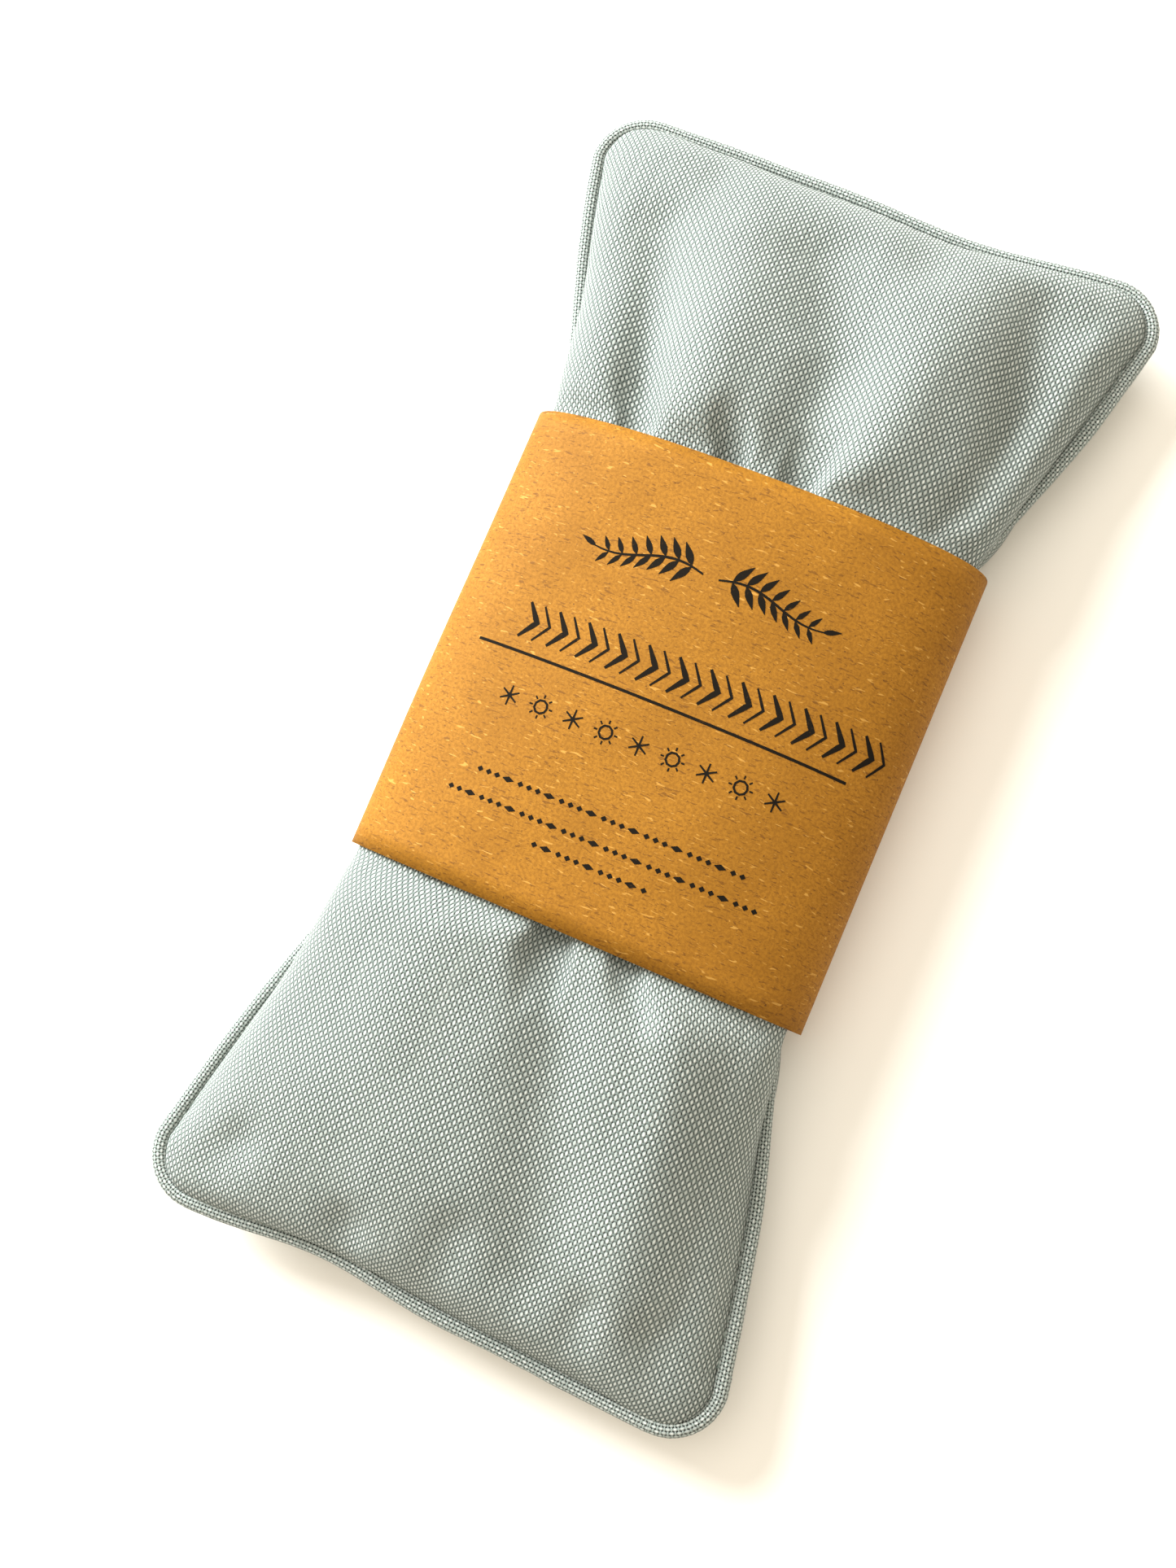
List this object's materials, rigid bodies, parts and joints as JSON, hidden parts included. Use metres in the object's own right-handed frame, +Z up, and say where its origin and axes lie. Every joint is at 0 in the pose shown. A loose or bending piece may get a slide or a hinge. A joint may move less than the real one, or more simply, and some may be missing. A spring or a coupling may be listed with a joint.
{
  "type": "linen eye pillow",
  "caption": "Flaxseed and lavender linen eye pillow with a rolled edge seam and lapped back opening, held in a sliding kraft paper belly band.",
  "frame": {"origin": "centre of the pillow's outline, on the surface that it lies on", "axes": "+X across the pillow, +Y along it towards the end without the back flap, +Z up through the front panel"},
  "size_m": [0.1158, 0.2298, 0.0278],
  "materials": {
    "linen": "plain-weave linen, pale sage with near-white slubs",
    "linen_edge": "the same linen, turned and rolled at the seam",
    "thread": "matching sewing thread",
    "muslin": "unbleached cotton muslin",
    "flaxseed": "glossy brown flaxseed",
    "lavender": "dried lavender buds",
    "kraft": "uncoated brown kraft card with fibre flecks",
    "glue": "dry paper glue",
    "ink": "matt black print"
  },
  "bodies": {
    "pillow": {"cover_front": "linen", "cover_back_long": "linen", "cover_back_flap": "linen", "cover_seam_allowance": "linen_edge", "cover_seam_thread": "thread", "flap_hem_thread": "thread", "long_panel_hem_thread": "thread", "pouch_front": "muslin", "pouch_back": "muslin", "pouch_seam_thread": "thread", "pouch_closing_thread": "thread", "flaxseed_fill": "flaxseed", "lavender_buds": "lavender"},
    "band": {"belly_band": "kraft", "band_glue": "glue", "band_print": "ink"}
  },
  "joints": [
    {"name": "band_slide", "type": "slide", "parent": "pillow", "child": "band", "axis": [0, 1, 0], "range_m": [-0.172, 0.162], "deforming": ["cover_front", "cover_back_long", "cover_back_flap", "cover_seam_allowance", "cover_seam_thread", "flap_hem_thread", "long_panel_hem_thread", "pouch_front", "pouch_back", "pouch_seam_thread", "pouch_closing_thread", "flaxseed_fill", "lavender_buds"]}
  ]
}
